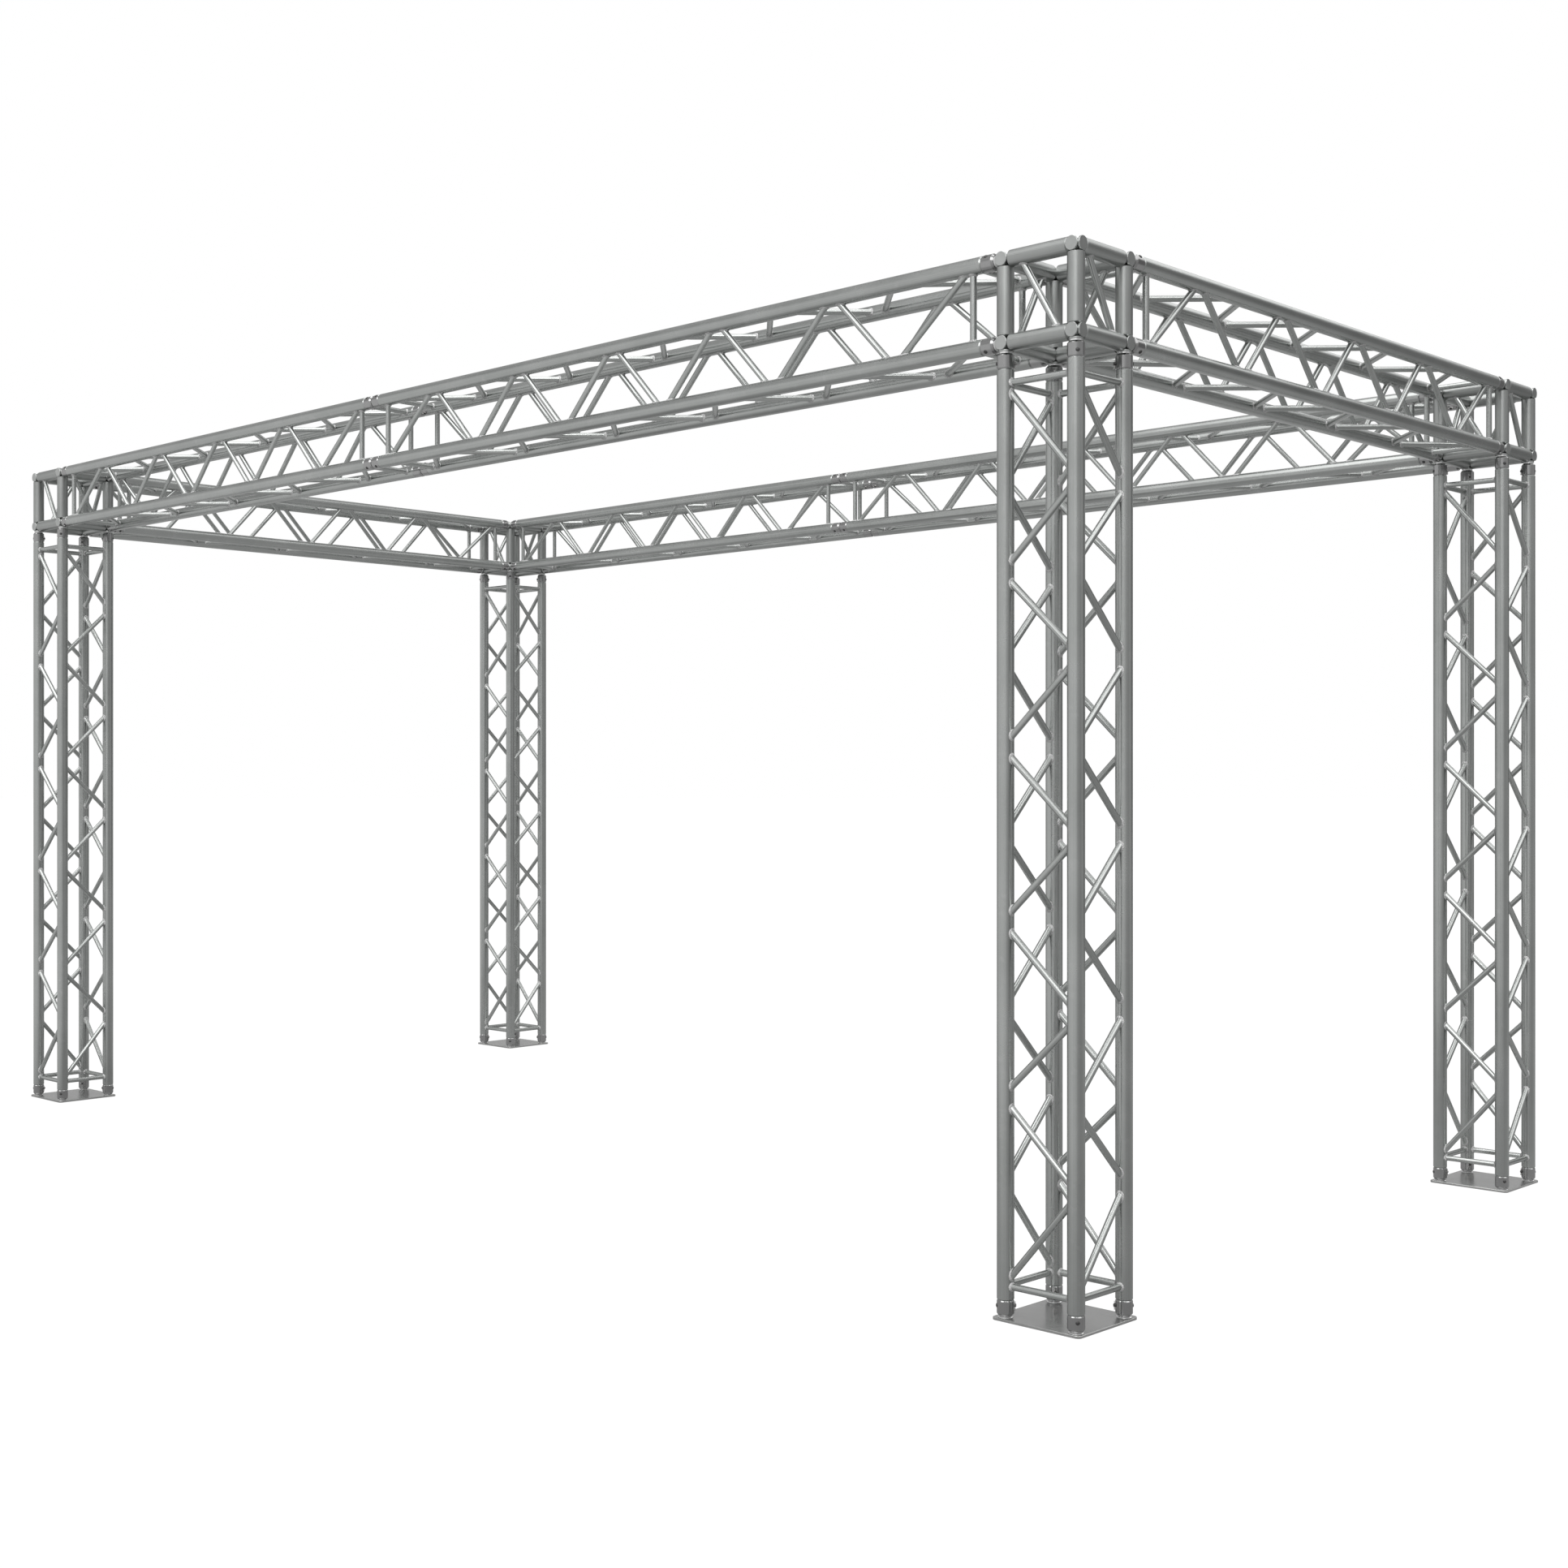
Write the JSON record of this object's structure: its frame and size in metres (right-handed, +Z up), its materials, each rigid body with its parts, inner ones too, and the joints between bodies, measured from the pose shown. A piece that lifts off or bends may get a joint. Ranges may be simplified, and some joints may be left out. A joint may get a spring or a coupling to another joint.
{
  "type": "box truss booth frame",
  "caption": "Freestanding rectangular frame of square lattice truss: legs on base plates, corner blocks and spans, joined by conical couplers.",
  "frame": {"origin": "on the floor, in the middle of the rectangle of the four base plates", "axes": "+X along the long side with the 3 m sections at its end, +Y from the front to the back, +Z up"},
  "size_m": [6.105, 3.1, 3.058],
  "materials": {
    "tube": "mill-finished tube, welded, lightly brushed",
    "cast": "cast and machined, satin",
    "turned": "turned, bright",
    "plate": "rolled plate, matt"
  },
  "bodies": {
    "root": {"base_plate_front_left": "plate", "foot_coupler_front_left_1": "turned", "foot_coupler_front_left_2": "turned", "foot_coupler_front_left_3": "turned", "foot_coupler_front_left_4": "turned", "leg_front_left": "tube", "corner_block_front_left": "cast", "base_plate_front_right": "plate", "foot_coupler_front_right_1": "turned", "foot_coupler_front_right_2": "turned", "foot_coupler_front_right_3": "turned", "foot_coupler_front_right_4": "turned", "leg_front_right": "tube", "corner_block_front_right": "cast", "base_plate_back_right": "plate", "foot_coupler_back_right_1": "turned", "foot_coupler_back_right_2": "turned", "foot_coupler_back_right_3": "turned", "foot_coupler_back_right_4": "turned", "leg_back_right": "tube", "corner_block_back_right": "cast", "base_plate_back_left": "plate", "foot_coupler_back_left_1": "turned", "foot_coupler_back_left_2": "turned", "foot_coupler_back_left_3": "turned", "foot_coupler_back_left_4": "turned", "leg_back_left": "tube", "corner_block_back_left": "cast", "front_span_right": "tube", "front_span_left": "tube", "front_splice_coupler_1": "turned", "front_splice_coupler_2": "turned", "front_splice_coupler_3": "turned", "front_splice_coupler_4": "turned", "back_span_right": "tube", "back_span_left": "tube", "back_splice_coupler_1": "turned", "back_splice_coupler_2": "turned", "back_splice_coupler_3": "turned", "back_splice_coupler_4": "turned", "left_span": "tube", "right_span": "tube"}
  },
  "joints": []
}
